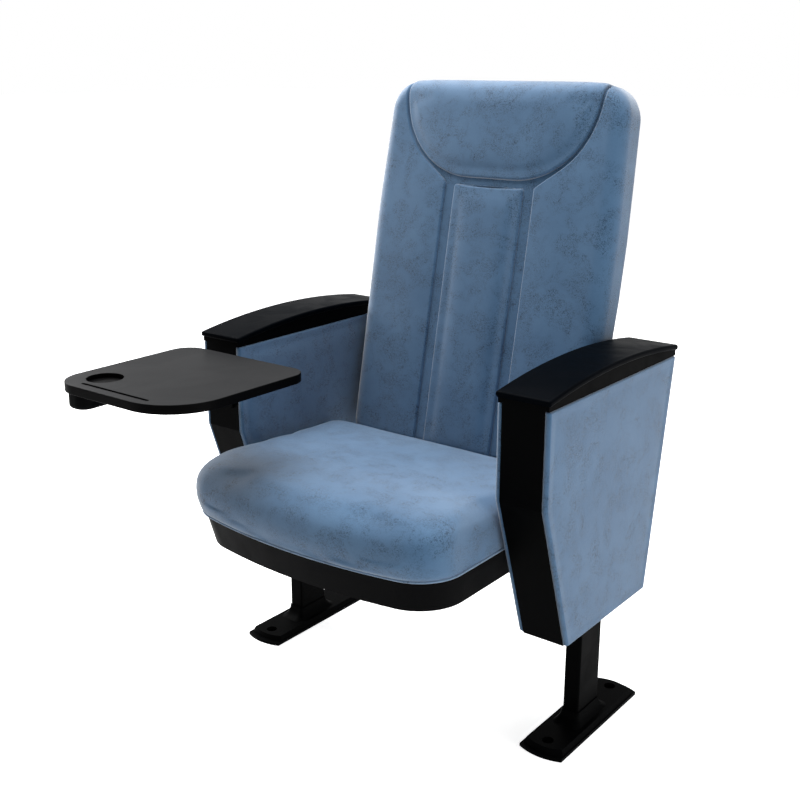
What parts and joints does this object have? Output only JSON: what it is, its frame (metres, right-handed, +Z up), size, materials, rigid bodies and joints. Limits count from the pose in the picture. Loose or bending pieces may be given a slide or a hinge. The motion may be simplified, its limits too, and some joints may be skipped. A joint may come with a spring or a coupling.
{
  "type": "tip up auditorium seat",
  "caption": "Upholstered tip-up auditorium seat: reclined channelled back, padded arm boxes, fold-over writing tablet with cup recess, posts with floor plates.",
  "frame": {"origin": "centre of the four floor bolt holes, on the floor plane", "axes": "+Z up, -Y towards the seat's front, +X towards the arm without the tablet"},
  "size_m": [0.696, 0.7571, 1.0042],
  "materials": {
    "blue_fabric": "slate blue chenille-like weave with darker flecks and a velvet sheen",
    "black_steel": "satin black powder coat",
    "black_armrest": "satin black integral-skin moulding",
    "black_wood": "black lacquer",
    "black_plastic": "finely textured black",
    "tablet_laminate": "dark grey textured laminate with a black edge",
    "plywood": "bare beech plywood",
    "rubber": "matt",
    "nylon": "natural nylon",
    "steel": "zinc plated"
  },
  "bodies": {
    "stand": {"arm_base_left": "black_wood", "arm_base_right": "black_wood", "arm_front_trim_left": "black_steel", "arm_front_trim_right": "black_steel", "arm_inner_board_left": "plywood", "arm_inner_board_right": "plywood", "arm_inner_pad_left": "blue_fabric", "arm_inner_pad_right": "blue_fabric", "arm_outer_board_left": "plywood", "arm_outer_board_right": "plywood", "arm_outer_pad_left": "blue_fabric", "arm_outer_pad_right": "blue_fabric", "arm_rear_trim_left": "black_steel", "arm_rear_trim_right": "black_steel", "armrest_cap_left": "black_armrest", "armrest_cap_right": "black_armrest", "armrest_core_left": "black_wood", "armrest_core_right": "black_wood", "armrest_screws_left": "steel", "armrest_screws_right": "steel", "back_board": "plywood", "back_bolts_left": "steel", "back_bolts_right": "steel", "back_bracket_left": "black_steel", "back_bracket_right": "black_steel", "back_cover": "black_plastic", "back_cover_screws": "steel", "back_cushion": "blue_fabric", "foot_cover_left": "black_steel", "foot_cover_right": "black_steel", "foot_plate_left": "black_steel", "foot_plate_right": "black_steel", "pivot_bush_left": "nylon", "pivot_bush_right": "nylon", "post_left": "black_steel", "post_right": "black_steel", "return_spring_left": "steel", "return_spring_right": "steel", "stop_buffers_left": "rubber", "stop_buffers_right": "rubber", "tablet_bracket": "black_steel", "tablet_bracket_screws": "steel", "tablet_swing_pin": "steel"},
    "seat": {"pivot_shaft_left": "steel", "pivot_shaft_right": "steel", "seat_board": "plywood", "seat_cushion": "blue_fabric", "seat_hinge_arm_left": "black_steel", "seat_hinge_arm_right": "black_steel", "seat_pan": "black_plastic", "seat_pan_screws": "steel", "seat_support_plate": "black_steel"},
    "tablet_arm": {"tablet_arm": "black_steel"},
    "tablet_board": {"tablet_top": "tablet_laminate", "tablet_housing": "black_plastic", "tablet_knuckle": "black_plastic", "tablet_screws": "steel"}
  },
  "joints": [
    {"name": "seat_tip", "type": "hinge", "parent": "stand", "child": "seat", "pos_m": [0, -0.015, 0.33], "axis": [-1, 0, 0], "range_deg": [0, 70]},
    {"name": "tablet_swing", "type": "hinge", "parent": "stand", "child": "tablet_arm", "pos_m": [-0.3315, -0.25, 0.5525], "axis": [-1, 0, 0], "range_deg": [0, 90]},
    {"name": "tablet_fold", "type": "hinge", "parent": "tablet_arm", "child": "tablet_board", "pos_m": [-0.3315, -0.4, 0.5525], "axis": [0, -1, 0], "range_deg": [0, 90]}
  ],
  "couplings": [
    {"joint": "tablet_fold", "follows": "seat_tip", "ratio": 1.2857}
  ]
}
